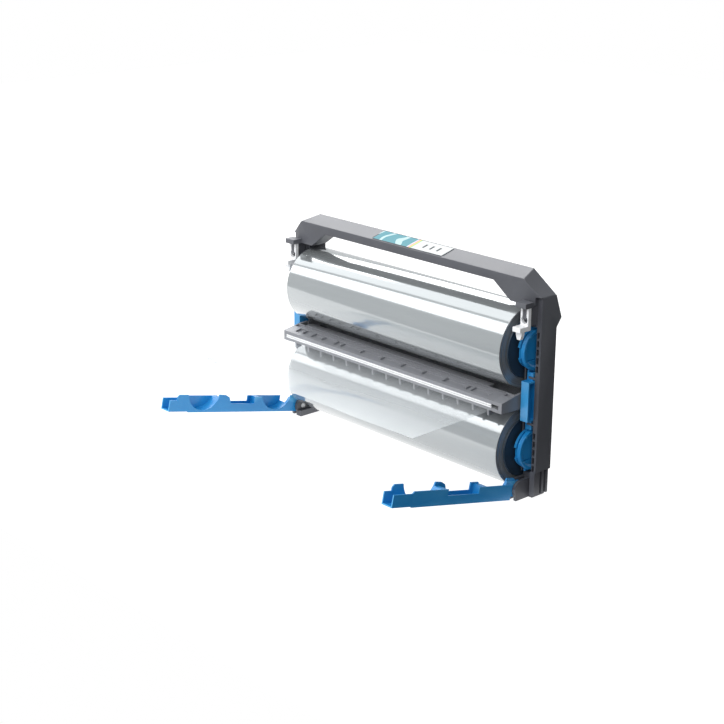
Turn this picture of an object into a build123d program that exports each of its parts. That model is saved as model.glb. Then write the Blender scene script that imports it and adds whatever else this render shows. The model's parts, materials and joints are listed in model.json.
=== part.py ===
from build123d import *
from math import acos, atan2, cos, hypot, radians, sin
import os

# Reloadable two-roll film cartridge for a desktop laminator.
#
# A charcoal frame with a carrying handle holds two rolls of clear film, one above the
# other, with a film guide between them. Two blue arms hinge at the bottom of the frame and
# swing up over the blue roll hubs, where a white slider on each side locks them.
#
# Frame: X runs along the rolls, -Y is the front (the side the arms open to), +Z is up, and
# Z = 0 is the surface the feet stand on. The origin is the middle of the footprint of the
# cartridge with its arms open. Depths in the outlines below are measured from the plane of
# the two roll axes, so depth -8 is 8 mm in front of that plane.

os.makedirs("parts", exist_ok=True)

# ---------------------------------------------------------------- driving dimensions (mm)
film_width = 306.0
roll_radius = 40.0
core_radius = 16.0
core_bore = 14.0
lower_axis_z = 48.0
roll_spacing = 100.0
film_gap = 0.35          # air between the loose film webs and the rolls
sheet_thickness = 0.35   # the two laminated films of the leader, and a single web

frame_half_width = 175.5
side_wall = 5.5
side_front = -7.9
side_back = 13.6
side_top_z = 201.3
side_skirt_z = 27.5

arm_tilt = 13.0          # open arms rise this much above the horizontal
hinge_depth = -16.0
hinge_z = 10.0
arm_length = 181.4       # hinge to tip
arm_inner_x = 158.6
arm_outer_x = 171.8
arm_skin = 1.3
arm_tip_floor = -6.5
arm_body_floor = -7.4
arm_floor_inside = -5.2

hub_disc_radius = 20.5
hub_groove_radius = 15.0
hub_neck_radius = 13.0
cup_radius = hub_disc_radius + 0.8
pin_radius = 3.0
running_gap = 0.05
part_gap = 0.3

screw_radius = 1.5
screw_head_radius = 2.8

# ---------------------------------------------------------------- derived places
upper_axis_z = lower_axis_z + roll_spacing
roll_end_x = film_width / 2
tilt = radians(arm_tilt)
arm_reach = -hinge_depth + arm_length * cos(tilt) - arm_tip_floor * sin(tilt)
axis_y = (arm_reach - roll_radius) / 2
wall_inside_x = frame_half_width - side_wall
mid_z = (lower_axis_z + upper_axis_z) / 2
hub_z = (lower_axis_z, upper_axis_z)
cup_run = (lower_axis_z - hinge_z, upper_axis_z - hinge_z)

side_plane = Plane(origin=(0, axis_y, 0), x_dir=(0, 1, 0), z_dir=(1, 0, 0))
front_plane = Plane(origin=(0, axis_y, 0), x_dir=(1, 0, 0), z_dir=(0, -1, 0))
plan_plane = Plane(origin=(0, axis_y, 0), x_dir=(1, 0, 0), z_dir=(0, 0, 1))


# ---------------------------------------------------------------- small helpers
def profile(points, low, high, mode=Mode.ADD, plane=side_plane):
    """Extrude a closed outline between two offsets of a plane."""
    with BuildSketch(plane.offset(low)) as outline:
        with BuildLine():
            Polyline(*points, close=True)
        make_face()
    extrude(outline.sketch, amount=high - low, mode=mode)


def block(x, depth, z, mode=Mode.ADD):
    """A straight block from its X, depth and Z spans."""
    corners = [(depth[0], z[0]), (depth[1], z[0]), (depth[1], z[1]), (depth[0], z[1])]
    profile(corners, x[0], x[1], mode)


def disc(x, depth, z, radius, mode=Mode.ADD):
    """A round boss or bore along X."""
    with BuildSketch(side_plane.offset(x[0])) as outline:
        with Locations((depth, z)):
            Circle(radius)
    extrude(outline.sketch, amount=x[1] - x[0], mode=mode)


def turned(points, z):
    """Turn an outline of (X, radius) points about a roll axis."""
    with BuildSketch(Plane(origin=(0, axis_y, z), x_dir=(1, 0, 0), z_dir=(0, -1, 0))) as outline:
        with BuildLine():
            Polyline(*points, close=True)
        make_face()
    revolve(outline.sketch, axis=Axis((0, axis_y, z), (1, 0, 0)))


def write(part, name):
    part.label = name
    export_step(part, f"parts/{name}.step")


def write_pair(part, name):
    """The part as drawn is the right one; the left one is its mirror image."""
    write(part, f"right_{name}")
    write(mirror(part, about=Plane.YZ), f"left_{name}")


def tangent_point(point, centre, radius, side):
    """Where a line from point touches a circle, in (depth, z)."""
    away = (point[0] - centre[0], point[1] - centre[1])
    angle = atan2(away[1], away[0]) + side * acos(radius / hypot(*away))
    return centre[0] + radius * cos(angle), centre[1] + radius * sin(angle)


def strip(start, end, thickness):
    """Outline of a thin straight strip between two (depth, z) points."""
    run = hypot(end[0] - start[0], end[1] - start[1])
    off = (-(end[1] - start[1]) * thickness / run, (end[0] - start[0]) * thickness / run)
    return [start, end, (end[0] + off[0], end[1] + off[1]), (start[0] + off[0], start[1] + off[1])]


# ---------------------------------------------------------------- handle beam and its cover
bar_front = -15.0
bar_back = 6.5
bar_top_front_z = 217.5
bar_top_rise = 5.5
bar_bottom_z = 209.0
bar_wall = 2.5
gusset_bottom_z = 193.0
gusset_inner_x = 141.5
bar_end_x = 119.2
corner_end_x = 169.8
chamfer_run = 1.123      # X per mm of height on the corner chamfers
top_slope = bar_top_rise / (bar_back - bar_front)


def bar_top_z(depth):
    return bar_top_front_z + top_slope * (depth - bar_front)


def mirrored(points):
    """Close a right-hand outline with its mirror image."""
    return points + [(-x, z) for x, z in reversed(points)]


crown_z = 226.0
crown_x = frame_half_width - (crown_z - side_top_z) * chamfer_run
beam_outline = mirrored([
    (crown_x, crown_z),
    (frame_half_width, side_top_z),
    (corner_end_x, side_top_z),
    (corner_end_x, gusset_bottom_z),
    (gusset_inner_x, gusset_bottom_z),
    (bar_end_x, bar_bottom_z),
])
beam_plan = [
    (-152, bar_back), (-frame_half_width, 11.5), (-frame_half_width, -10), (-160, bar_front),
    (160, bar_front), (frame_half_width, -10), (frame_half_width, 11.5), (152, bar_back),
]
hollow_end_x = 149.0
hollow_outline = mirrored([
    (hollow_end_x, crown_z),
    (hollow_end_x, gusset_bottom_z + bar_wall),
    (gusset_inner_x + 1, gusset_bottom_z + bar_wall),
    (bar_end_x + 1, bar_bottom_z + bar_wall),
])
corner_pocket = [
    (hollow_end_x + 2.5, gusset_bottom_z + bar_wall),
    (corner_end_x - 3, gusset_bottom_z + bar_wall),
    (corner_end_x - 3, 203.5),
    (hollow_end_x + 2.5, 217.0),
]
handle_screw_x = 160.0
handle_screw_depths = (-3.0, 6.0)

with BuildPart() as hollow:
    profile(hollow_outline, -20, -bar_front - bar_wall, plane=front_plane)
    under_top = [(-20, 180), (25, 180), (25, bar_top_z(25) - bar_wall), (-20, bar_top_z(-20) - bar_wall)]
    profile(under_top, -200, 200, Mode.INTERSECT)

with BuildPart() as handle_beam:
    profile(beam_outline, -20, 20, plane=front_plane)
    profile(beam_plan, 0, 240, Mode.INTERSECT, plan_plane)
    over = [(bar_front - 5, bar_top_z(bar_front - 5)), (25, bar_top_z(25)), (25, 260), (bar_front - 5, 260)]
    profile(over, -200, 200, Mode.SUBTRACT)
    add(hollow.part, mode=Mode.SUBTRACT)
    for side in (1, -1):
        pocket = [(side * x, z) for x, z in corner_pocket]
        profile(pocket, -20, -bar_front - bar_wall, Mode.SUBTRACT, front_plane)
    with BuildSketch(plan_plane.offset(gusset_bottom_z - 1)):
        with Locations([(s * handle_screw_x, d) for s in (1, -1) for d in handle_screw_depths]):
            Circle(screw_radius + running_gap)
    extrude(amount=bar_wall + 2, mode=Mode.SUBTRACT)
write(handle_beam.part, "handle_beam")

cover_gap = 0.15
cover_outline = mirrored([
    (hollow_end_x - cover_gap, crown_z),
    (hollow_end_x - cover_gap, gusset_bottom_z + bar_wall + cover_gap),
    (gusset_inner_x + 1, gusset_bottom_z + bar_wall + cover_gap),
    (bar_end_x + 1, bar_bottom_z + bar_wall + cover_gap),
])
with BuildPart() as handle_back_cover:
    profile(cover_outline, -bar_back, -bar_back + 2, plane=front_plane)
    trim_z = bar_wall + cover_gap
    under_top = [(-20, 180), (25, 180), (25, bar_top_z(25) - trim_z), (-20, bar_top_z(-20) - trim_z)]
    profile(under_top, -200, 200, Mode.INTERSECT)
write(handle_back_cover.part, "handle_back_cover")

# ---------------------------------------------------------------- label plate on the bar
label_length = 100.0
label_width = 19.5
label_depth = -4.4
label_corner = 3.0
label_thickness = 0.4
label_plane = Plane(
    origin=(0, axis_y + label_depth, bar_top_z(label_depth)),
    x_dir=(1, 0, 0),
    z_dir=(0, -top_slope, 1),
)
with BuildPart() as label_plate:
    with BuildSketch(label_plane):
        RectangleRounded(label_length, label_width, label_corner)
    extrude(amount=label_thickness)
write(label_plate.part, "label_plate")

# ---------------------------------------------------------------- right side frame
block_inner_x = 156.9
block_wall = 2.2
top_block_z = (172.0, 192.8)
mid_block_z = (78.0, 118.0)
bottom_block_z = (3.0, 24.0)
plate_slot = (160.1, 162.1)
foot_front = -25.5
foot_back = 12.5
inner_lug_x = (155.0, 158.0)
outer_lug_x = (162.3, 165.5)
pin_end_x = 164.4
foot_pad_x = 150.5
foot_pad_top = 6.3
rim = 3.4
skin = 2.2
ridge_relief_x = 160.4
ledge_inner_x = 162.2
ledge_height = 2.2
ledge_z = (74.2, 120.3)
slot_count = 5
slot_pitch = 8.3
front_slot_height = 6.2
front_slot_x = (170.6, 173.2)

with BuildPart() as side_frame:
    # outer wall with the rear hump, hollowed from the inside beside each hub
    wall = [
        (side_front, side_skirt_z), (side_front, side_top_z), (11.5, side_top_z),
        (20, 178), (side_back, 169.3), (side_back, side_skirt_z),
    ]
    profile(wall, wall_inside_x, frame_half_width)
    for z in hub_z:
        block((wall_inside_x - 1, frame_half_width - skin), (side_front + rim, side_back - rim), (z - 21, z + 21),
              Mode.SUBTRACT)
    # the three blocks that carry the bearing plate, open at the back
    for low, high in (top_block_z, mid_block_z, bottom_block_z):
        front = side_front if low == top_block_z[0] else -4.0
        block((block_inner_x, wall_inside_x), (front, 11.5), (low, high))
        block((block_inner_x + block_wall, wall_inside_x), (front + block_wall, 12), (low + block_wall, high - block_wall),
              Mode.SUBTRACT)
    block(plate_slot, (side_front - 1, 9.2), (25, 171), Mode.SUBTRACT)
    # relief in the top block for the closed arm's inner skin, and a ledge above and below the channel
    block((block_inner_x - 1, ridge_relief_x), (side_front - 1, -4.1), (170, 193), Mode.SUBTRACT)
    for low in ledge_z:
        block((ledge_inner_x, wall_inside_x), (-8.1, -3.9), (low, low + ledge_height))
    # skirt: front column and two fins below the wall
    block((168.5, 174.5), (side_front, 0), (bottom_block_z[0], side_skirt_z))
    for depth in (3.5, 9.5):
        block((166, 174), (depth, depth + 3), (bottom_block_z[0], side_skirt_z))
    # hinge lugs with rounded noses, and the foot pad that reaches in under the roll
    for low, high in (inner_lug_x, outer_lug_x):
        back = foot_back if low == inner_lug_x[0] else -3.5
        lug = [(hinge_depth, 0), (back, 0), (back, 19.5), (hinge_depth, 19.5)]
        profile(lug, low, high)
        disc((low, high), hinge_depth, hinge_z, 9.5)
        block((low, high), (hinge_depth - 7, hinge_depth), (0, 4))
    block((foot_pad_x, inner_lug_x[1]), (foot_front + 2, foot_back), (0, foot_pad_top))
    block((inner_lug_x[0], wall_inside_x), (-5, foot_back), (0, 5))
    # the pin goes in from the inside and stops short of the outer face
    disc((inner_lug_x[0] - 1, pin_end_x + 0.1), hinge_depth, hinge_z, pin_radius + 0.02, Mode.SUBTRACT)
    # slots down the front strip beside each hub
    for z in hub_z:
        for step in range(slot_count):
            low = z - 20 + step * slot_pitch
            block(front_slot_x, (side_front - 1, side_front + rim + 1), (low, low + front_slot_height), Mode.SUBTRACT)
    # boss and pilot holes for the handle screws
    block((block_inner_x, 163.5), (-7, 10), (183, top_block_z[1]))
    with BuildSketch(plan_plane.offset(top_block_z[1] - 8)):
        with Locations([(handle_screw_x, d) for d in handle_screw_depths]):
            Circle(screw_radius + running_gap)
    extrude(amount=10, mode=Mode.SUBTRACT)
write_pair(side_frame.part, "side_frame")

# ---------------------------------------------------------------- bearing plate for the hub necks
bearing_x = (155.0, 156.8)
bearing_front = -6.0
bearing_back = 17.0
plate_screw_z = (84.0, 112.0, 182.0)
plate_screw_depth = 5.0
with BuildPart() as bearing_plate:
    block(bearing_x, (bearing_front, bearing_back), (24.5, 192.5))
    for z in hub_z:
        disc(bearing_x, 0, z, hub_neck_radius + part_gap, Mode.SUBTRACT)
        block(bearing_x, (bearing_front - 1, 0), (z - hub_neck_radius - part_gap, z + hub_neck_radius + part_gap),
              Mode.SUBTRACT)
    for z in plate_screw_z:
        disc(bearing_x, plate_screw_depth, z, screw_radius + running_gap, Mode.SUBTRACT)
write_pair(bearing_plate.part, "bearing_plate")

# ---------------------------------------------------------------- blue cradle with the hub seats
seat_x = (160.3, 161.9)
seat_front = -7.6
seat_back = 9.0
strip_x = (160.4, 167.5)
strip_z = (69.5, 126.5)
channel_x = (160.4, 169.6)
channel_front = -15.9
channel_z = (79.5, 119.0)
channel_wall = 1.7
with BuildPart() as cradle:
    block(seat_x, (seat_front, seat_back), (26, 170))
    for z in hub_z:
        seat = hub_groove_radius + part_gap
        disc(seat_x, 0, z, seat + 3)
        disc(seat_x, 0, z, seat, Mode.SUBTRACT)
        block(seat_x, (seat_front - 1, 0), (z - seat, z + seat), Mode.SUBTRACT)
    block(strip_x, (side_front, -4.3), strip_z)
    for low in ledge_z:
        block((ledge_inner_x - 0.2, strip_x[1] + 1), (side_front - 1, -3), (low - 0.15, low + ledge_height + 0.15),
              Mode.SUBTRACT)
    block(channel_x, (channel_front, -4.3), channel_z)
    recess_depth = (channel_front + channel_wall, -4.3 - channel_wall)
    recess_z = (channel_z[0] + channel_wall, channel_z[1] - channel_wall)
    block((channel_x[0] + 2.6, channel_x[1] + 1), recess_depth, recess_z, Mode.SUBTRACT)
write_pair(cradle.part, "cradle")

# ---------------------------------------------------------------- rolls: film, core, end discs, hubs
end_disc_radius = 30.4
end_disc_x = (153.2, 154.6)
hub_inner_x = 138.0
hub_bore_radius = 5.0
hub_flange_x = (157.1, 159.8)
hub_flange_radius = 19.5
hub_disc_x = (162.4, 166.2)
hub_rim_radius = 17.5
hub_dish_x = 164.4
film_names = {lower_axis_z: "lower", upper_axis_z: "upper"}
for z, level in film_names.items():
    with BuildPart() as film_roll:
        turned([(-roll_end_x, core_radius), (-roll_end_x, roll_radius),
                (roll_end_x, roll_radius), (roll_end_x, core_radius)], z)
    write(film_roll.part, f"{level}_film_roll")

    with BuildPart() as core:
        turned([(-roll_end_x, core_bore), (-roll_end_x, core_radius),
                (roll_end_x, core_radius), (roll_end_x, core_bore)], z)
    write(core.part, f"{level}_core")

    with BuildPart() as end_disc:
        bore = hub_neck_radius + running_gap
        turned([(end_disc_x[0], bore), (end_disc_x[0], end_disc_radius),
                (end_disc_x[1], end_disc_radius - 0.6), (end_disc_x[1], bore)], z)
    write_pair(end_disc.part, f"{level}_end_disc")

    with BuildPart() as hub:
        turned([
            (hub_inner_x, 0), (hub_inner_x, core_bore), (end_disc_x[0], core_bore),
            (end_disc_x[0], hub_neck_radius), (hub_flange_x[0], hub_neck_radius),
            (hub_flange_x[0], hub_flange_radius), (hub_flange_x[1], hub_flange_radius),
            (hub_flange_x[1], hub_groove_radius), (hub_disc_x[0], hub_groove_radius),
            (hub_disc_x[0], hub_disc_radius), (hub_disc_x[1] - 0.6, hub_disc_radius),
            (hub_disc_x[1], hub_disc_radius - 0.6), (hub_disc_x[1], hub_rim_radius),
            (hub_dish_x, hub_rim_radius - 2), (hub_dish_x, 0),
        ], z)
        disc((hub_inner_x - 1, hub_flange_x[0]), 0, z, hub_bore_radius, Mode.SUBTRACT)
        block((hub_dish_x - 1, hub_disc_x[1] + 1), (-16.5, -4), (z - 9.9, z - 8.6), Mode.SUBTRACT)
        block((hub_flange_x[0] - 1, hub_flange_x[1]), (-19.9, -17), (z - 7, z + 4), Mode.SUBTRACT)
    write_pair(hub.part, f"{level}_hub")

# ---------------------------------------------------------------- film guide between the rolls
guide_half_width = 145.9
guide_front = -40.0
slot_z = (94.0, 97.5)
guide_front_top_z = 101.0
guide_crest = (-17.0, 105.0)
guide_rear = -10.0
windows_x = ((-145, -127), (-120, -88), (-84, 70), (75, 110), (113, 136))
window_depth = (-35.5, -26.5)
window_sink = 2.0
bracket_end_x = 158.2
film_pass_x = 153.6
pocket_depth = (-19.0, -10.0)
leader_z = 95.6
with BuildPart() as upper_guide:
    upper_plate = [
        (guide_front, slot_z[1]), (guide_front, guide_front_top_z), guide_crest,
        (guide_rear, guide_crest[1]), (guide_rear, guide_crest[1] - 2.4), (-17.6, guide_crest[1] - 2.4),
        (guide_front + 4, slot_z[1]),
    ]
    profile(upper_plate, -guide_half_width, guide_half_width)
    rise = (guide_crest[1] - guide_front_top_z) / (guide_crest[0] - guide_front)
    for low, high in windows_x:
        floor = [(d, guide_front_top_z + rise * (d - guide_front) - window_sink) for d in window_depth]
        profile(floor + [(window_depth[1], 110), (window_depth[0], 110)], low, high, Mode.SUBTRACT)
    for x in range(-135, 136, 30):
        block((x - 0.8, x + 0.8), (-33, guide_rear), (slot_z[1] + 1.2, 102.6))
    # shallow groove behind the windows, and the open pocket at the right-hand end
    block((-guide_half_width, guide_half_width), (-21.5, -19.5), (102.9, 110), Mode.SUBTRACT)
    block((121, guide_half_width + 1), (pocket_depth[0], guide_rear + 1), (slot_z[1], 110), Mode.SUBTRACT)
write(upper_guide.part, "upper_guide")

with BuildPart() as lower_guide:
    lower_plate = [
        (guide_front, slot_z[0]), (guide_front, slot_z[0] - 3), (-36, slot_z[0] - 3.4),
        (guide_rear, 89.4), (guide_rear, slot_z[0]),
    ]
    profile(lower_plate, -guide_half_width, guide_half_width)
    for x in range(-140, 141, 20):
        rib = [(guide_front + 1, 91.5), (guide_front + 1.5, 84.5), (-33, 85.5), (-26, 90.5)]
        profile(rib, x - 1.2, x + 1.2)
write(lower_guide.part, "lower_guide")

with BuildPart() as guide_bracket:
    cheek = [(guide_front, 90.6), (guide_front, guide_front_top_z), guide_crest,
             (8, guide_crest[1] + 1), (8, 89.6), (-17, 89.6)]
    profile(cheek, guide_half_width + 0.1, bracket_end_x)
    block((154.8, 160), (-8.4, 9), (80, 120), Mode.SUBTRACT)
    block((140, film_pass_x), (guide_front - 1, 9), slot_z, Mode.SUBTRACT)
    block((140, film_pass_x), (guide_rear, 9), (80, 120), Mode.SUBTRACT)
    block((148, bracket_end_x - 1.6), (-25.5, -20.5), (guide_crest[1] - 2.6, 110), Mode.SUBTRACT)
    block((140, bracket_end_x - 3), (pocket_depth[0], guide_rear + 1), (slot_z[1], 110), Mode.SUBTRACT)
write_pair(guide_bracket.part, "guide_bracket")

# a channel-section beam ties the two bearing plates together behind the guide
beam_depth = (8.2, 26.0)
beam_z = (90.5, 104.5)
beam_wall = 2.0
with BuildPart() as cross_beam:
    block((-bearing_x[0], bearing_x[0]), beam_depth, beam_z)
    inside_z = (beam_z[0] + beam_wall, beam_z[1] - beam_wall)
    block((-bearing_x[0] + 3, bearing_x[0] - 3), (beam_depth[0] + beam_wall, beam_depth[1] + 1), inside_z, Mode.SUBTRACT)
write(cross_beam.part, "guide_cross_beam")

# a white strip in two halves closes the mouth of the slot above and below the film
nip_strip_x = (-film_pass_x + 0.2, 145.0)
nip_strip_depth = (guide_front - 0.7, guide_front + 1.2)
with BuildPart() as film_nip_strip:
    block(nip_strip_x, nip_strip_depth, (slot_z[0] + 0.05, leader_z - 0.12))
    block(nip_strip_x, nip_strip_depth, (leader_z + sheet_thickness + 0.12, slot_z[1] - 0.05))
write(film_nip_strip.part, "film_nip_strip")

# ---------------------------------------------------------------- film: webs and leader
leader_front = -151.8
leader_front_z = 93.2
with BuildPart() as leader_sheet:
    path = [(guide_rear - 2, leader_z), (guide_front, leader_z), (leader_front, leader_front_z)]
    lifted = [(d, z + sheet_thickness) for d, z in reversed(path)]
    profile(path + lifted, -roll_end_x, roll_end_x)
write(leader_sheet.part, "leader_sheet")

slot_rear_depth = guide_rear + 0.3
for level, z, turn, slot_rear_z, side in (
    ("upper", upper_axis_z, 1, leader_z + 0.9, 1),
    ("lower", lower_axis_z, -1, leader_z - 0.9, -1),
):
    slot_rear = (slot_rear_depth, slot_rear_z)
    touch = tangent_point(slot_rear, (0, z), roll_radius + film_gap, turn)
    with BuildPart() as web:
        profile(strip(touch, slot_rear, side * sheet_thickness), -roll_end_x, roll_end_x)
    write(web.part, f"{level}_web")

# ---------------------------------------------------------------- reload arm
# Drawn in the open arm's own plane: run is measured out from the hinge, lift square to it.
arm_plane = Plane(
    origin=(0, axis_y + hinge_depth, hinge_z),
    x_dir=(0, -cos(tilt), sin(tilt)),
    z_dir=(-1, 0, 0),
)
cup_lift = -hinge_depth
shell_start = 22.0
tip_start = 156.6
tip_lift = 5.5
body_lift = 7.6
waist_lift = 1.5
waist_run = (68.6, 110.7)
window_run = (152.5, 168.0)
knuckle_x = (arm_inner_x, 161.9)
ridge_x = (arm_inner_x, arm_inner_x + 1.6)
ridge_lift = 11.4


def arm_slab(points, low_x, high_x, mode=Mode.ADD):
    """Extrude an outline of (run, lift) points between two X places."""
    profile(points, -high_x, -low_x, mode, arm_plane)


def arm_box(x, run, lift, mode=Mode.ADD):
    arm_slab([(run[0], lift[0]), (run[1], lift[0]), (run[1], lift[1]), (run[0], lift[1])], x[0], x[1], mode)


with BuildPart() as arm:
    silhouette = [
        (shell_start, arm_body_floor), (tip_start, arm_body_floor), (tip_start, arm_tip_floor),
        (arm_length, arm_tip_floor), (arm_length, tip_lift), (tip_start + 1, tip_lift),
        (tip_start - 1, body_lift), (waist_run[1], body_lift), (waist_run[1], waist_lift),
        (waist_run[0], waist_lift), (waist_run[0], body_lift), (shell_start, body_lift),
    ]
    arm_slab(silhouette, arm_inner_x, arm_outer_x)
    # the inner skin stands taller than the outer one either side of the cups
    arm_slab([
        (waist_run[1] - 11, 0), (waist_run[1] - 7, 8.6), (waist_run[1] - 2, ridge_lift - 0.5),
        (waist_run[1] + 6, ridge_lift), (132, 8), (132, 0),
    ], *ridge_x)
    arm_slab([(150, 0), (150, 10.2), (156, ridge_lift), (170, ridge_lift), (172.4, 9), (172.4, 0)], *ridge_x)
    arm_box(ridge_x, (waist_run[0] - 16, waist_run[0]), (0, 8.8))
    arm_slab([(5.5, 0), (5.5, 9), (8, ridge_lift - 0.9), (19, ridge_lift - 0.9), (19, 0)], *ridge_x)
    # open channel at the waist and at the tip
    inside_x = (arm_inner_x + arm_skin, arm_outer_x - arm_skin)
    arm_box(inside_x, (64, 112), (arm_floor_inside, 20), Mode.SUBTRACT)
    for run in (76, 90, 104):
        arm_box(inside_x, (run - 0.7, run + 0.7), (arm_floor_inside - 0.5, arm_floor_inside + 2.5))
    arm_box(inside_x, (window_run[0], arm_length + 1), (arm_floor_inside, 20), Mode.SUBTRACT)
    arm_box(inside_x, window_run, (-20, 0), Mode.SUBTRACT)
    # knuckle on the hinge pin
    arm_box(knuckle_x, (2, shell_start + 1), (arm_body_floor, 8.0))
    with BuildSketch(arm_plane.offset(-knuckle_x[1])):
        Circle(8.2)
    extrude(amount=knuckle_x[1] - knuckle_x[0])
    # cups that close over the hubs, inside the outer skin
    for run in cup_run:
        with BuildSketch(arm_plane.offset(-arm_outer_x + arm_skin)):
            with Locations((run, cup_lift)):
                Circle(cup_radius)
        extrude(amount=20, mode=Mode.SUBTRACT)
    with BuildSketch(arm_plane.offset(-knuckle_x[1] - 1)):
        Circle(pin_radius + running_gap)
    extrude(amount=10, mode=Mode.SUBTRACT)
write_pair(arm.part, "arm")

with BuildPart() as hinge_pin:
    disc((inner_lug_x[0] + 0.1, pin_end_x), hinge_depth, hinge_z, pin_radius)
write_pair(hinge_pin.part, "hinge_pin")

# ---------------------------------------------------------------- latch: post with its cap, and slider
slider_x = (160.4, 170.0)
slider_mid_x = (slider_x[0] + slider_x[1]) / 2
slider_front = -20.9
slider_back = -17.0
post_front = -16.8
post_x = (161.3, 169.1)
cap_z = (192.9, 197.8)
tongue_half = 2.1
lip_half = 3.1
lip_depth = (-19.3, -18.1)
with BuildPart() as latch_post:
    block(post_x, (post_front, side_front - 0.02), (174.5, 192.8))
    block(post_x, (post_front, bar_front - 0.1), (192, 195))
    block((158.0, 170.9), (-26.0, bar_front - 0.1), cap_z)
    block((slider_mid_x - tongue_half, slider_mid_x + tongue_half), (slider_front + 0.2, post_front + 1), (181.5, 193.5))
    block((slider_mid_x - lip_half, slider_mid_x + lip_half), lip_depth, (181.5, 193.5))
write_pair(latch_post.part, "latch_post")

tab_z = (171.0, 175.5)
tab_front = -31.5
tail_z = 163.0
tail_depth = (-28.0, -24.0)
keyhole_radius = 3.8
keyhole_z = 180.9
with BuildPart() as latch_slider:
    block(slider_x, (slider_front, slider_back), (tab_z[0], 192.4))
    block(slider_x, (tab_front, slider_front + 1), tab_z)
    tail = [
        (slider_mid_x - 3.6, tab_z[0] + 1), (slider_mid_x - 3.6, 168), (slider_mid_x - 2, tail_z),
        (slider_mid_x + 2, tail_z), (slider_mid_x + 3.6, 168), (slider_mid_x + 3.6, tab_z[0] + 1),
    ]
    profile(tail, -tail_depth[1], -tail_depth[0], plane=front_plane)
    with BuildSketch(front_plane.offset(-slider_back - 1)):
        with Locations((slider_mid_x, keyhole_z)):
            Circle(keyhole_radius)
        with Locations((slider_mid_x, keyhole_z + 10)):
            Rectangle(2 * (tongue_half + part_gap), 20)
    extrude(amount=slider_back - slider_front + 2, mode=Mode.SUBTRACT)
    block((slider_mid_x - lip_half - part_gap, slider_mid_x + lip_half + part_gap),
          (lip_depth[0] - part_gap, lip_depth[1] + part_gap), (keyhole_z, 200), Mode.SUBTRACT)
write_pair(latch_slider.part, "latch_slider")

# ---------------------------------------------------------------- screws, one node for each group
with BuildPart() as handle_screws:
    for depth in handle_screw_depths:
        for side in (1, -1):
            with BuildSketch(plan_plane.offset(top_block_z[1] - 7)):
                with Locations((side * handle_screw_x, depth)):
                    Circle(screw_radius)
            extrude(amount=gusset_bottom_z + bar_wall - top_block_z[1] + 7)
            with BuildSketch(plan_plane.offset(gusset_bottom_z + bar_wall)):
                with Locations((side * handle_screw_x, depth)):
                    Circle(screw_head_radius)
            extrude(amount=1.8)
write(handle_screws.part, "handle_screws")

with BuildPart() as plate_screws:
    for side in (1, -1):
        for z in plate_screw_z:
            span = sorted((side * (bearing_x[0] - 1.1), side * bearing_x[0]))
            disc(span, plate_screw_depth, z, 2.4)
            span = sorted((side * bearing_x[0], side * (block_inner_x - 0.02)))
            disc(span, plate_screw_depth, z, screw_radius)
write(plate_screws.part, "plate_screws")
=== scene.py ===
"""A reloadable film cartridge for a desktop laminator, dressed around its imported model.

The file goes through the cartridge as it is put together: camera and studio, the charcoal
frame, the label, the blue cradles, the two film rolls, the film guide, the loose film, the
reload arms, the latches and last the steel fasteners. Lengths are in metres.
"""
from math import cos, pi, radians, sin
import json
import random

import bpy
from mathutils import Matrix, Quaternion, Vector

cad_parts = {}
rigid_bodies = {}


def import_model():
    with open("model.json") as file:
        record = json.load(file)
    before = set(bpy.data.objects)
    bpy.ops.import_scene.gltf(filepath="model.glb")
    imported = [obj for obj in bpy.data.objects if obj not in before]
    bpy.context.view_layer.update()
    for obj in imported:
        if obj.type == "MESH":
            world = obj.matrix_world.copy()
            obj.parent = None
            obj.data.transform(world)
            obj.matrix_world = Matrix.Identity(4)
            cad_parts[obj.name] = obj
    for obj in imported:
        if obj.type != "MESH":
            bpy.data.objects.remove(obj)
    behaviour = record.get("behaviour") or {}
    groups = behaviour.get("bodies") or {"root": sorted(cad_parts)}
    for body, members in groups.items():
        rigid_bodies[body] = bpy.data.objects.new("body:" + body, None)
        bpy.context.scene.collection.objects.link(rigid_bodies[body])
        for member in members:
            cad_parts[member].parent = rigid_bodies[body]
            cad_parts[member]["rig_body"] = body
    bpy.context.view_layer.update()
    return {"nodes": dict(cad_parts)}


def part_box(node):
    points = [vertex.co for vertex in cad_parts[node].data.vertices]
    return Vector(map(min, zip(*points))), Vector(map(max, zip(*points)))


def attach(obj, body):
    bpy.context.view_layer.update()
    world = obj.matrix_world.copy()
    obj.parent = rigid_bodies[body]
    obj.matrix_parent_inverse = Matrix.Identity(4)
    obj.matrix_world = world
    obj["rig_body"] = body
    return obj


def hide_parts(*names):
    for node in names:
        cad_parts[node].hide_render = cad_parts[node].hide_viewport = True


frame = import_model()
mm = 0.001

# ---------------------------------------------------------------- camera
# A long lens, a little above the cartridge and well round to its right-hand side, so that
# the near side frame, both rolls and both open arms are in view.
upper_low, upper_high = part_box("upper_film_roll")
lower_low, lower_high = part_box("lower_film_roll")
axis_y = (upper_low.y + upper_high.y) / 2
camera_azimuth = radians(47.22)
camera_elevation = radians(18.18)
camera_roll = radians(0.38)
camera_distance = 1.654
camera_target = Vector((-0.0776, axis_y, 0.0758))

away = Vector((
    sin(camera_azimuth) * cos(camera_elevation),
    -cos(camera_azimuth) * cos(camera_elevation),
    sin(camera_elevation),
))
bpy.ops.object.camera_add(location=camera_target + away * camera_distance)
camera = bpy.context.object
camera.name = "camera"
camera.rotation_mode = "QUATERNION"
camera.rotation_quaternion = away.to_track_quat("Z", "Y") @ Quaternion((0, 0, 1), camera_roll)
camera.data.lens = 77.5
camera.data.sensor_width = 36
camera.data.clip_end = 60
bpy.context.scene.camera = camera


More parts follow.
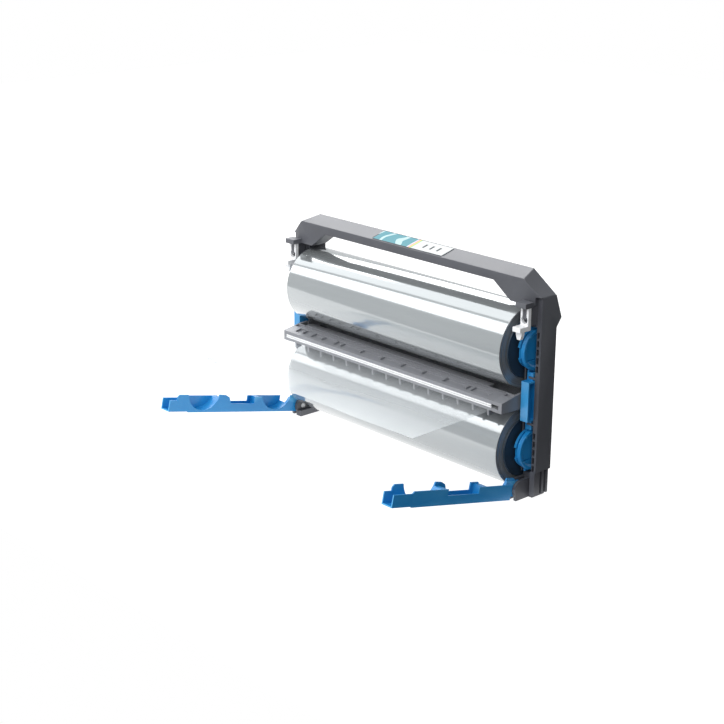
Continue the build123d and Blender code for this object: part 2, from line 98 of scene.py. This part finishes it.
# ---------------------------------------------------------------- studio: lights, sky and floor
# White all round, with soft light. A softbox as long as a table hangs high on the left,
# where the film rolls mirror it as the bright band along their length.
def linear(hex_colour):
    """The linear colour of an sRGB hex value."""
    shares = [int(hex_colour[i:i + 2], 16) / 255 for i in (1, 3, 5)]
    return [s / 12.92 if s <= 0.04045 else ((s + 0.055) / 1.055) ** 2.4 for s in shares] + [1.0]


def shader_node(tree, kind, inputs=None, **settings):
    """Adds a node: settings are its properties, inputs are values or the sockets that feed it."""
    made = tree.nodes.new(kind)
    for name, value in settings.items():
        setattr(made, name, value)
    for socket, value in (inputs or {}).items():
        if isinstance(value, bpy.types.NodeSocket):
            tree.links.new(value, made.inputs[socket])
        else:
            made.inputs[socket].default_value = value
    return made


def new_material(name):
    """An empty node material, as (material, tree, output node)."""
    material = bpy.data.materials.new(name)
    material.use_nodes = True
    tree = material.node_tree
    tree.nodes.clear()
    return material, tree, tree.nodes.new("ShaderNodeOutputMaterial")


def softbox(name, place, aim, size, power):
    """An area light of (width, height) in metres at place, turned to face aim."""
    bpy.ops.object.light_add(type="AREA", location=place)
    light = bpy.context.object
    light.name = name
    light.rotation_mode = "QUATERNION"
    light.rotation_quaternion = (Vector(place) - Vector(aim)).to_track_quat("Z", "Y")
    light.data.shape = "RECTANGLE"
    light.data.size, light.data.size_y = size
    light.data.energy = power
    return light


middle = Vector((0, axis_y, 0.11))
# the rolls mirror what hangs this far to the left, and the long panels face their level there
mirrored_x = -1.9
mirrored_level = (mirrored_x, axis_y, 0.15)
softbox("key_softbox", (1.3, -1.5, 2.1), middle, (1.6, 1.2), 17)
softbox("band_softbox", (mirrored_x, axis_y - 1.23, 1.48), mirrored_level, (5.0, 0.95), 40)
softbox("top_sheen_softbox", (-1.8, axis_y + 1.15, 1.58), middle, (2.2, 1.3), 36)
# a dim panel between those two is mirrored by the rolls and lights nothing else
roll_panel = softbox("roll_panel_softbox", (mirrored_x, axis_y + 0.2, 1.97), mirrored_level, (5.0, 1.9), 44)
roll_panel.visible_diffuse = False

world = bpy.data.worlds.new("studio_sky")
bpy.context.scene.world = world
world.use_nodes = True
sky = world.node_tree
sky.nodes.clear()
path = shader_node(sky, "ShaderNodeLightPath")
glow = shader_node(sky, "ShaderNodeBackground", {"Color": linear("#EEF1F3"), "Strength": 0.84})
seen = shader_node(sky, "ShaderNodeBackground", {"Color": linear("#FFFFFF"), "Strength": 1.0})
chosen = shader_node(sky, "ShaderNodeMixShader", {
    0: path.outputs["Is Camera Ray"], 1: glow.outputs[0], 2: seen.outputs[0]})
shader_node(sky, "ShaderNodeOutputWorld", {"Surface": chosen.outputs[0]})
bpy.context.scene.view_settings.view_transform = "Standard"

# The table is lit paper that ends a little way in front of the open arms, so only the
# lower part of each roll mirrors it. It lies just below the feet.
table_front, table_back, table_half = axis_y - 0.42, 2.6, 2.6
paper_drop = 0.4 * mm
bpy.ops.mesh.primitive_plane_add(size=1, location=(0, (table_front + table_back) / 2, -paper_drop))
table_top = bpy.context.object
table_top.name = "backdrop_paper"
table_top.scale = (2 * table_half, table_back - table_front, 1)
bpy.ops.object.transform_apply(location=True, rotation=True, scale=True)
paper, tree, output = new_material("lit_white_backdrop_paper")
place = shader_node(tree, "ShaderNodeTexCoord")
fibre = shader_node(tree, "ShaderNodeTexNoise", {
    "Vector": place.outputs["Object"], "Scale": 8.0, "Detail": 3.0})
shade = shader_node(tree, "ShaderNodeMix", {
    0: fibre.outputs["Fac"], 6: linear("#868686"), 7: linear("#8C8C8C")}, data_type="RGBA")
matt = shader_node(tree, "ShaderNodeBsdfPrincipled", {
    "Base Color": shade.outputs[2], "Roughness": 0.9,
    "Emission Color": linear("#FFFFFF"), "Emission Strength": 0.95})
tree.links.new(matt.outputs[0], output.inputs["Surface"])
table_top.data.materials.append(paper)

# A black flag just out of view on the right keeps light off the outer face of the near side.
flag_side = 1.7
flag_place = (0.62, axis_y + 0.68, 0.66)
bpy.ops.mesh.primitive_plane_add(size=flag_side, location=flag_place, rotation=(0, pi / 2, 0))
flag = bpy.context.object
flag.name = "black_flag"
flag.visible_camera = False
cloth, tree, output = new_material("black_flag_cloth")
place = shader_node(tree, "ShaderNodeTexCoord")
weave = shader_node(tree, "ShaderNodeTexNoise", {"Vector": place.outputs["Object"], "Scale": 53.0})
black = shader_node(tree, "ShaderNodeMix", {
    0: weave.outputs["Fac"], 6: linear("#0A0A0B"), 7: linear("#141416")}, data_type="RGBA")
felt = shader_node(tree, "ShaderNodeBsdfPrincipled", {"Base Color": black.outputs[2], "Roughness": 0.95})
tree.links.new(felt.outputs[0], output.inputs["Surface"])
flag.data.materials.append(cloth)

# The same cloth lies on the table beside it, out of view, so the paper lights that side less.
cloth_near_x, cloth_far_x, cloth_depth = 0.19, 1.1, 1.3
cloth_place = ((cloth_near_x + cloth_far_x) / 2, axis_y + 0.15, 0.3 * mm)
bpy.ops.mesh.primitive_plane_add(size=1, location=cloth_place)
table_cloth = bpy.context.object
table_cloth.name = "black_table_cloth"
table_cloth.scale = (cloth_far_x - cloth_near_x, cloth_depth, 1)
bpy.ops.object.transform_apply(location=True, rotation=True, scale=True)
table_cloth.visible_camera = False
table_cloth.visible_shadow = False
table_cloth.data.materials.append(cloth)


# ---------------------------------------------------------------- charcoal frame
# The handle beam, its rear cover, the two side frames, the bearing plates and the latch
# posts are injection moulded in charcoal ABS, with rounded edges and a fine spark-eroded
# texture that scatters the light.
def select_only(piece):
    bpy.ops.object.select_all(action="DESELECT")
    piece.select_set(True)
    bpy.context.view_layer.objects.active = piece


def finish_piece(piece, node, material):
    """Gives a piece its finish and body, and lets it stand for a CAD node."""
    piece.data.materials.clear()
    piece.data.materials.append(material)
    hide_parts(node)
    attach(piece, frame["nodes"][node]["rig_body"])


# Points closer than this are one, and triangles that lie this flat together are one face.
same_point = 0.004 * mm
same_plane = radians(0.5)
# Edges sharper than the first are rounded; those sharper than the second stay creased.
rounded_from = radians(38)
creased_from = radians(32)


def moulded(node, edge, material):
    """A moulded plastic piece: the CAD shape with its edges rounded to a small radius."""
    source = frame["nodes"][node]
    piece = bpy.data.objects.new(f"{node}_moulding", source.data.copy())
    bpy.context.scene.collection.objects.link(piece)
    select_only(piece)
    bpy.ops.object.mode_set(mode="EDIT")
    bpy.ops.mesh.select_all(action="SELECT")
    bpy.ops.mesh.remove_doubles(threshold=same_point)
    bpy.ops.mesh.tris_convert_to_quads(face_threshold=same_plane, shape_threshold=radians(40))
    bpy.ops.object.mode_set(mode="OBJECT")
    rounding = piece.modifiers.new("rounding", "BEVEL")
    rounding.width = edge
    rounding.segments = 2
    rounding.limit_method = "ANGLE"
    rounding.angle_limit = rounded_from
    rounding.use_clamp_overlap = True
    rounding.miter_outer = "MITER_ARC"
    bpy.ops.object.modifier_apply(modifier=rounding.name)
    bpy.ops.object.shade_smooth_by_angle(angle=creased_from)
    flats = piece.modifiers.new("flats", "WEIGHTED_NORMAL")
    flats.keep_sharp = True
    bpy.ops.object.modifier_apply(modifier=flats.name)
    finish_piece(piece, node, material)


def moulded_plastic(name, colour, worn_colour, roughness, grain_mm, grain_depth, coat=0.0):
    """Injection-moulded plastic: an even colour, paler where edges rub, over a fine grain."""
    material, tree, output = new_material(name)
    place = shader_node(tree, "ShaderNodeTexCoord")
    grain = shader_node(tree, "ShaderNodeTexNoise", {
        "Vector": place.outputs["Object"], "Scale": 1 / (grain_mm * mm), "Detail": 3.0, "Roughness": 0.6})
    flow = shader_node(tree, "ShaderNodeTexNoise", {
        "Vector": place.outputs["Object"], "Scale": 28.0, "Detail": 4.0, "Roughness": 0.55})
    shape = shader_node(tree, "ShaderNodeNewGeometry")
    rubbed = shader_node(tree, "ShaderNodeMapRange", {
        "Value": shape.outputs["Pointiness"],
        "From Min": 0.53, "From Max": 0.62, "To Min": 0.0, "To Max": 0.75})
    tone = shader_node(tree, "ShaderNodeMapRange", {
        "Value": flow.outputs["Fac"], "From Min": 0.3, "From Max": 0.7, "To Min": 0.0, "To Max": 0.16})
    wear = shader_node(tree, "ShaderNodeMath", {0: rubbed.outputs[0], 1: tone.outputs[0]}, operation="ADD")
    wear.use_clamp = True
    colours = shader_node(tree, "ShaderNodeMix", {
        0: wear.outputs[0], 6: linear(colour), 7: linear(worn_colour)}, data_type="RGBA")
    gloss = shader_node(tree, "ShaderNodeMapRange", {
        "Value": flow.outputs["Fac"], "To Min": roughness - 0.07, "To Max": roughness + 0.07})
    bump = shader_node(tree, "ShaderNodeBump", {
        "Strength": 0.35, "Distance": grain_depth * mm, "Height": grain.outputs["Fac"]})
    surface = shader_node(tree, "ShaderNodeBsdfPrincipled", {
        "Base Color": colours.outputs[2], "Roughness": gloss.outputs[0], "Normal": bump.outputs[0],
        "IOR": 1.53, "Coat Weight": coat, "Coat Roughness": 0.2})
    tree.links.new(surface.outputs[0], output.inputs["Surface"])
    return material


# ABS with a spark-eroded grain: 0.2 mm on the real frame, drawn at 0.9 mm so that it shows.
charcoal_abs = moulded_plastic("charcoal_abs_spark_eroded", "#4A4B51", "#6E7076", 0.46, 0.9, 0.05)
for node in ("handle_beam", "handle_back_cover", "guide_cross_beam"):
    moulded(node, 0.6 * mm, charcoal_abs)
for side in ("left", "right"):
    moulded(f"{side}_side_frame", 0.35 * mm, charcoal_abs)
    moulded(f"{side}_bearing_plate", 0.3 * mm, charcoal_abs)
    moulded(f"{side}_latch_post", 0.35 * mm, charcoal_abs)

# ---------------------------------------------------------------- label on the handle
# A printed vinyl label under a clear matt laminate: a teal panel with a pale abstract
# sweep, three thin stripes and a white panel with three short bars in place of words.
label_low, label_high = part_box("label_plate")
# where each colour starts, as a share of the label's length from its left end
label_bands = [
    (0.0, "#2E3A40"), (0.012, "#3C8794"), (0.50, "#C9CFD1"), (0.515, "#D88AA8"), (0.53, "#E8C94C"),
    (0.545, "#7FB98C"), (0.56, "#CDD0CF"), (0.988, "#3A4046"),
]
printed_vinyl, tree, output = new_material("printed_vinyl_label")
place = shader_node(tree, "ShaderNodeTexCoord")
spot = shader_node(tree, "ShaderNodeSeparateXYZ", {0: place.outputs["Object"]})
along = shader_node(tree, "ShaderNodeMapRange", {
    "Value": spot.outputs["X"], "From Min": label_low.x, "From Max": label_high.x})
across = shader_node(tree, "ShaderNodeMapRange", {
    "Value": spot.outputs["Y"], "From Min": label_low.y, "From Max": label_high.y})
bands = shader_node(tree, "ShaderNodeValToRGB", {0: along.outputs[0]})
bands.color_ramp.interpolation = "CONSTANT"
while len(bands.color_ramp.elements) < len(label_bands):
    bands.color_ramp.elements.new(0.5)
for element, (start, colour) in zip(bands.color_ramp.elements, label_bands):
    element.position = start
    element.color = linear(colour)
sweep = shader_node(tree, "ShaderNodeTexWave", {
    "Vector": place.outputs["Object"], "Scale": 16.0, "Distortion": 7.0, "Detail": 2.0, "Detail Scale": 1.4})
sweep_from, sweep_until = 0.78, 0.47
sweep_mask = shader_node(tree, "ShaderNodeMath", {0: sweep.outputs["Fac"], 1: sweep_from},
                         operation="GREATER_THAN")
on_teal = shader_node(tree, "ShaderNodeMath", {0: along.outputs[0], 1: sweep_until}, operation="LESS_THAN")
pale = shader_node(tree, "ShaderNodeMath", {0: sweep_mask.outputs[0], 1: on_teal.outputs[0]},
                   operation="MULTIPLY")
teal_print = shader_node(tree, "ShaderNodeMix", {
    0: pale.outputs[0], 6: bands.outputs["Color"], 7: linear("#A9C6C9")}, data_type="RGBA")
# three bars, as shares of the label's length and depth
bars_per_label, bar_share = 10.5, 0.27
bars_from, bars_until, bar_reach = 0.62, 0.93, 0.19
border_from = 0.462
bar_step = shader_node(tree, "ShaderNodeMath", {0: along.outputs[0], 1: bars_per_label}, operation="MULTIPLY")
bar_phase = shader_node(tree, "ShaderNodeMath", {0: bar_step.outputs[0]}, operation="FRACT")
bar_here = shader_node(tree, "ShaderNodeMath", {0: bar_phase.outputs[0], 1: bar_share}, operation="LESS_THAN")
after = shader_node(tree, "ShaderNodeMath", {0: along.outputs[0], 1: bars_from}, operation="GREATER_THAN")
before = shader_node(tree, "ShaderNodeMath", {0: along.outputs[0], 1: bars_until}, operation="LESS_THAN")
off_middle = shader_node(tree, "ShaderNodeMath", {0: across.outputs[0], 1: 0.5}, operation="SUBTRACT")
reach = shader_node(tree, "ShaderNodeMath", {0: off_middle.outputs[0]}, operation="ABSOLUTE")
inside = shader_node(tree, "ShaderNodeMath", {0: reach.outputs[0], 1: bar_reach}, operation="LESS_THAN")
span = shader_node(tree, "ShaderNodeMath", {0: after.outputs[0], 1: before.outputs[0]}, operation="MULTIPLY")
zone = shader_node(tree, "ShaderNodeMath", {0: span.outputs[0], 1: inside.outputs[0]}, operation="MULTIPLY")
bars = shader_node(tree, "ShaderNodeMath", {0: zone.outputs[0], 1: bar_here.outputs[0]}, operation="MULTIPLY")
panel_print = shader_node(tree, "ShaderNodeMix", {
    0: bars.outputs[0], 6: teal_print.outputs[2], 7: linear("#33373B")}, data_type="RGBA")
border = shader_node(tree, "ShaderNodeMath", {0: reach.outputs[0], 1: border_from}, operation="GREATER_THAN")
whole_print = shader_node(tree, "ShaderNodeMix", {
    0: border.outputs[0], 6: panel_print.outputs[2], 7: linear("#3A4046")}, data_type="RGBA")
ripple = shader_node(tree, "ShaderNodeTexNoise", {"Vector": place.outputs["Object"], "Scale": 700.0})
laminate = shader_node(tree, "ShaderNodeBump", {
    "Strength": 0.2, "Distance": 0.02 * mm, "Height": ripple.outputs["Fac"]})
ink = shader_node(tree, "ShaderNodeBsdfPrincipled", {
    "Base Color": whole_print.outputs[2], "Roughness": 0.5, "Normal": laminate.outputs[0],
    "Specular IOR Level": 0.2})
tree.links.new(ink.outputs[0], output.inputs["Surface"])
moulded("label_plate", 0.1 * mm, printed_vinyl)

# ---------------------------------------------------------------- blue cradles
# The cradles that seat the hubs are moulded in blue ABS, smoother than the frame, with
# an open channel half way up that takes a rail of the laminator.
# A polished mould gives a satin gloss; the faint ripple is sink and flow at about 3 mm.
blue_abs = moulded_plastic("blue_abs_satin", "#1684C8", "#58B0E2", 0.33, 3.0, 0.04, coat=0.15)
for side in ("left", "right"):
    moulded(f"{side}_cradle", 0.3 * mm, blue_abs)

# ---------------------------------------------------------------- film rolls
# Each roll is about three hundred turns of clear film on a grey tube. The outside is as
# smooth as one sheet of film, faintly streaked where air is held under it, and the ends
# show the edges of the turns, not quite in line. A dark disc and a blue hub close each end.
film_radius = (upper_high.z - upper_low.z) / 2
film_half = (upper_high.x - upper_low.x) / 2
core_low, core_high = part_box("upper_core")
core_radius = (core_high.z - core_low.z) / 2
turns_of_edge = 9
# each ring of the end face is mostly a flat, then a short step to the next
flat_share, step_share = 0.86, 0.14


def wound_film(name, axis_z):
    """Polyester film with a glued face, wound tight: clear, but silver-grey in the mass."""
    material, tree, output = new_material(name)
    place = shader_node(tree, "ShaderNodeTexCoord")
    centred = shader_node(tree, "ShaderNodeMapping", {
        "Vector": place.outputs["Object"], "Location": (0, -axis_y, -axis_z)})
    spot = shader_node(tree, "ShaderNodeSeparateXYZ", {0: centred.outputs[0]})
    high = shader_node(tree, "ShaderNodeMath", {0: spot.outputs["Z"], 1: 2.0}, operation="POWER")
    deep = shader_node(tree, "ShaderNodeMath", {0: spot.outputs["Y"], 1: 2.0}, operation="POWER")
    square = shader_node(tree, "ShaderNodeMath", {0: high.outputs[0], 1: deep.outputs[0]}, operation="ADD")
    radius = shader_node(tree, "ShaderNodeMath", {0: square.outputs[0]}, operation="SQRT")
    # streaks that run the length of the roll and fade into each other, about 6 mm wide
    stretched = shader_node(tree, "ShaderNodeMapping", {
        "Vector": centred.outputs[0], "Scale": (0.06, 1.0, 1.0)})
    streaks = shader_node(tree, "ShaderNodeTexNoise", {
        "Vector": stretched.outputs[0], "Scale": 80.0, "Detail": 4.0, "Roughness": 0.5, "Distortion": 0.15})
    # rings on the ends, one for every dozen turns or so
    rings = shader_node(tree, "ShaderNodeTexNoise", {"W": radius.outputs[0], "Scale": 900.0, "Detail": 2.0},
                        noise_dimensions="1D")
    at_end = shader_node(tree, "ShaderNodeMath", {0: spot.outputs["X"]}, operation="ABSOLUTE")
    end_mask = shader_node(tree, "ShaderNodeMath", {0: at_end.outputs[0], 1: film_half - 0.6 * mm},
                           operation="GREATER_THAN")
    skin = shader_node(tree, "ShaderNodeMix", {
        0: streaks.outputs["Fac"], 6: linear("#A2A7A9"), 7: linear("#B4B8B9")}, data_type="RGBA")
    edges = shader_node(tree, "ShaderNodeMix", {
        0: rings.outputs["Fac"], 6: linear("#73777B"), 7: linear("#B4B8BA")}, data_type="RGBA")
    colours = shader_node(tree, "ShaderNodeMix", {
        0: end_mask.outputs[0], 6: skin.outputs[2], 7: edges.outputs[2]}, data_type="RGBA")
    gloss = shader_node(tree, "ShaderNodeMapRange", {
        "Value": streaks.outputs["Fac"], "To Min": 0.08, "To Max": 0.16})
    dull = shader_node(tree, "ShaderNodeMath", {0: end_mask.outputs[0], 1: 0.25, 2: gloss.outputs[0]},
                       operation="MULTIPLY_ADD")
    relief = shader_node(tree, "ShaderNodeMix", {
        0: end_mask.outputs[0], 2: streaks.outputs["Fac"], 3: rings.outputs["Fac"]}, data_type="FLOAT")
    bump = shader_node(tree, "ShaderNodeBump", {
        "Strength": 0.12, "Distance": 0.3 * mm, "Height": relief.outputs[0]})
    surface = shader_node(tree, "ShaderNodeBsdfPrincipled", {
        "Base Color": colours.outputs[2], "Roughness": dull.outputs[0], "Normal": bump.outputs[0],
        "Metallic": 0.6, "IOR": 1.6, "Coat Weight": 0.8, "Coat Roughness": 0.05})
    tree.links.new(surface.outputs[0], output.inputs["Surface"])
    return material


def select_end(piece, side):
    """Selects the end face of a roll that still stands upright, in edit mode."""
    bpy.ops.object.mode_set(mode="OBJECT")
    for face in piece.data.polygons:
        face.select = face.normal.z * side > 0.99
    bpy.ops.object.mode_set(mode="EDIT")


def film_roll(level, axis_z):
    """A tube of wound film with its end windings a little uneven, turned to lie along X."""
    random.seed(f"{level} windings")
    bpy.ops.object.select_all(action="DESELECT")
    bpy.ops.mesh.primitive_cylinder_add(vertices=160, radius=film_radius, depth=2 * film_half)
    piece = bpy.context.object
    piece.name = f"{level}_film_roll_wound"
    bpy.ops.object.mode_set(mode="EDIT")
    bpy.ops.mesh.select_mode(type="FACE")
    step = (film_radius - core_radius) / turns_of_edge
    for end in (1, -1):
        select_end(piece, end)
        for turn in range(turns_of_edge):
            bpy.ops.mesh.inset(thickness=step * flat_share, depth=0)
            if turn == turns_of_edge - 1:
                break
            sunk = -random.uniform(0.02, 0.22) * mm * (1 if turn % 2 == 0 else -0.6)
            bpy.ops.mesh.inset(thickness=step * step_share, depth=sunk)
    # open the bore and line it
    bpy.ops.object.mode_set(mode="OBJECT")
    for face in piece.data.polygons:
        face.select = len(face.vertices) > 4
    bpy.ops.object.mode_set(mode="EDIT")
    bpy.ops.mesh.bridge_edge_loops()
    bpy.ops.object.mode_set(mode="OBJECT")
    piece.rotation_euler = (0, pi / 2, 0)
    piece.location = (0, axis_y, axis_z)
    bpy.ops.object.transform_apply(location=True, rotation=True, scale=True)
    corners = piece.modifiers.new("corners", "BEVEL")
    corners.width = 0.35 * mm
    corners.segments = 3
    corners.limit_method = "ANGLE"
    corners.angle_limit = radians(60)
    bpy.ops.object.modifier_apply(modifier=corners.name)
    bpy.ops.object.shade_smooth_by_angle(angle=radians(40))
    finish_piece(piece, f"{level}_film_roll", wound_film(f"wound_clear_film_{level}", axis_z))


# The discs are navy-grey polypropylene with a fine turned finish.
disc_plastic = moulded_plastic("navy_grey_polypropylene", "#1B2E3F", "#405363", 0.5, 1.4, 0.05)
# The core is spiral-wound grey tube, hidden by the film and by the hubs that plug it.
core_board = moulded_plastic("grey_core_tube", "#7B7D80", "#96989B", 0.6, 1.2, 0.08)
upper_axis_z = (upper_low.z + upper_high.z) / 2
lower_axis_z = (lower_low.z + lower_high.z) / 2
for level, axis_z in (("upper", upper_axis_z), ("lower", lower_axis_z)):
    film_roll(level, axis_z)
    moulded(f"{level}_core", 0.2 * mm, core_board)
    for side in ("left", "right"):
        moulded(f"{side}_{level}_end_disc", 0.25 * mm, disc_plastic)
        moulded(f"{side}_{level}_hub", 0.3 * mm, blue_abs)

# ---------------------------------------------------------------- film guide
# Two long ABS plates between the rolls lead both films into one flat slot. The upper one
# has shallow windows along its lip, the lower one a comb of short ribs below it.
guide_abs = moulded_plastic("grey_abs_guide", "#7B7C81", "#919398", 0.4, 0.9, 0.05)
for node in ("upper_guide", "lower_guide", "left_guide_bracket", "right_guide_bracket"):
    moulded(node, 0.3 * mm, guide_abs)

# ---------------------------------------------------------------- loose film
# A web runs from each roll to the guide, where the two meet and stick, and the joined
# film reaches out in front as the leader. It is clear, with a painted sheen: a pale colour,
# laid on more opaque towards the leader's free end where it lies open to the light, stands in for its
# reflection.
film_thickness = 0.12 * mm
leader_low, leader_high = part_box("leader_sheet")
web_low, web_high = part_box("upper_web")
under_low, under_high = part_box("lower_web")
guide_low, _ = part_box("upper_guide")
# the film is cut a hair narrower than its rolls
film_cut = 0.999


def clear_film(name, clear_y, painted_sheen_y, least, most):
    """Clear polyester film with a painted sheen: a pale colour whose opacity grows from least at clear_y to
    most at painted_sheen_y.
    """
    material, tree, output = new_material(name)
    place = shader_node(tree, "ShaderNodeTexCoord")
    spot = shader_node(tree, "ShaderNodeSeparateXYZ", {0: place.outputs["Object"]})
    cloud = shader_node(tree, "ShaderNodeTexNoise", {
        "Vector": place.outputs["Object"], "Scale": 9.0, "Detail": 3.0, "Roughness": 0.5})
    # painted sheen: the opacity of the pale film colour grows along y and stands in for reflected light
    reach = shader_node(tree, "ShaderNodeMapRange", {
        "Value": spot.outputs["Y"], "From Min": clear_y, "From Max": painted_sheen_y, "To Min": least, "To Max": most})
    patch = shader_node(tree, "ShaderNodeMapRange", {
        "Value": cloud.outputs["Fac"], "To Min": 0.8, "To Max": 1.2})
    painted_sheen_alpha = shader_node(tree, "ShaderNodeMath", {0: reach.outputs[0], 1: patch.outputs[0]},
                       operation="MULTIPLY")
    drawn = shader_node(tree, "ShaderNodeTexNoise", {"Vector": place.outputs["Object"], "Scale": 30.0})
    wrinkle = shader_node(tree, "ShaderNodeBump", {
        "Strength": 0.12, "Distance": 0.4 * mm, "Height": drawn.outputs["Fac"]})
    glaze = shader_node(tree, "ShaderNodeBsdfPrincipled", {
        "Base Color": linear("#DADEE0"), "Roughness": 0.14, "Alpha": painted_sheen_alpha.outputs[0],
        "Normal": wrinkle.outputs[0], "IOR": 1.6})
    tree.links.new(glaze.outputs[0], output.inputs["Surface"])
    return material


def film_sheet(name, node, line, film):
    """A sheet of film as wide as the roll, along a smooth line of (y, z) points."""
    bpy.ops.object.select_all(action="DESELECT")
    bpy.ops.mesh.primitive_grid_add(x_subdivisions=48, y_subdivisions=32, size=1)
    piece = bpy.context.object
    piece.name = name
    for point in piece.data.vertices:
        run = point.co.y + 0.5
        y, z = line(run, 2 * point.co.x)
        point.co = (2 * point.co.x * film_half * film_cut, y, z)
    thickness = piece.modifiers.new("thickness", "SOLIDIFY")
    thickness.thickness = film_thickness
    thickness.offset = 0
    bpy.ops.object.modifier_apply(modifier=thickness.name)
    bpy.ops.object.shade_smooth_by_angle(angle=radians(30))
    finish_piece(piece, node, film)


leader_back_y = leader_high.y
leader_front_y = leader_low.y + 0.3 * mm
leader_back_z = leader_high.z - 0.25 * mm
leader_front_z = leader_low.z + 0.2 * mm


def leader_line(run, across):
    """Flat in the slot, then drooping a little, with its free edge slightly wavy."""
    y = leader_back_y + (leader_front_y - leader_back_y) * run
    free = max(0.0, (run - 0.2) / 0.8)
    droop = (leader_front_z - leader_back_z) * free ** 1.15
    wave = 0.35 * mm * free ** 2 * sin(7 * across + 1.0)
    return y, leader_back_z + droop + wave


def upper_web_line(run, across):
    """Straight from the upper roll's underside forward and down into the slot."""
    y = web_high.y + (web_low.y - web_high.y) * run
    return y, web_high.z + (web_low.z - web_high.z) * run - 0.25 * mm


def lower_web_line(run, across):
    """Straight from the back of the lower roll's top forward and up into the slot."""
    y = under_high.y + (under_low.y - under_high.y) * run
    return y, under_low.z + (under_high.z - under_low.z) * run + 0.25 * mm


# painted reflection: the joined film's pale colour grows more opaque towards its free end; the webs get a
# faint, almost even touch of it
sheen_painted_film = clear_film("joined_polyester_film", guide_low.y, leader_front_y, 0.06, 0.62)
single_film = clear_film("single_polyester_film", web_low.y, web_high.y, 0.05, 0.08)
film_sheet("leader_film", "leader_sheet", leader_line, sheen_painted_film)
film_sheet("upper_web_film", "upper_web", upper_web_line,
           single_film)
film_sheet("lower_web_film", "lower_web", lower_web_line,
           single_film)

# ---------------------------------------------------------------- reload arms
# One blue moulding on each side, hinged at the foot of the frame: a thin outer skin, two
# round cups that close over the hubs, an open waist and a channel at the tip for the latch.
for side in ("left", "right"):
    moulded(f"{side}_arm", 0.35 * mm, blue_abs)

# ---------------------------------------------------------------- latch sliders
# A small white acetal slider runs on each post, with a keyhole slot and a finger tab. It
# is slightly translucent, so its shaded faces stay light.
white_acetal_and_painted_highlight = moulded_plastic("white_acetal_and_painted_highlight", "#EDEEF0", "#FFFFFF", 0.34, 2.0, 0.03, coat=0.1)
glow_through = white_acetal_and_painted_highlight.node_tree.nodes["Principled BSDF"]
glow_through.inputs["Subsurface Weight"].default_value = 0.35
glow_through.inputs["Subsurface Radius"].default_value = (2 * mm, 2 * mm, 2 * mm)
# the film_nip_strip gets the same white plastic: a white strip painted in as the bright highlight where the
# film leaves the slot
for node in ("left_latch_slider", "right_latch_slider", "film_nip_strip"):
    moulded(node, 0.3 * mm, white_acetal_and_painted_highlight)

# ---------------------------------------------------------------- hinge pins and screws
# Zinc-plated steel: the pins the arms turn on, and the pan-head screws that hold the
# handle and the bearing plates to the side frames.
zinc_steel, tree, output = new_material("zinc_plated_steel")
place = shader_node(tree, "ShaderNodeTexCoord")
spangle = shader_node(tree, "ShaderNodeTexNoise", {
    "Vector": place.outputs["Object"], "Scale": 600.0, "Detail": 3.0})
plated = shader_node(tree, "ShaderNodeMix", {
    0: spangle.outputs["Fac"], 6: linear("#9FA2A5"), 7: linear("#C4C6C8")}, data_type="RGBA")
worn = shader_node(tree, "ShaderNodeMapRange", {
    "Value": spangle.outputs["Fac"], "To Min": 0.22, "To Max": 0.42})
scratch = shader_node(tree, "ShaderNodeBump", {
    "Strength": 0.2, "Distance": 0.02 * mm, "Height": spangle.outputs["Fac"]})
bright = shader_node(tree, "ShaderNodeBsdfPrincipled", {
    "Base Color": plated.outputs[2], "Metallic": 1.0, "Roughness": worn.outputs[0],
    "Normal": scratch.outputs[0]})
tree.links.new(bright.outputs[0], output.inputs["Surface"])
for node in ("left_hinge_pin", "right_hinge_pin", "handle_screws", "plate_screws"):
    moulded(node, 0.2 * mm, zinc_steel)
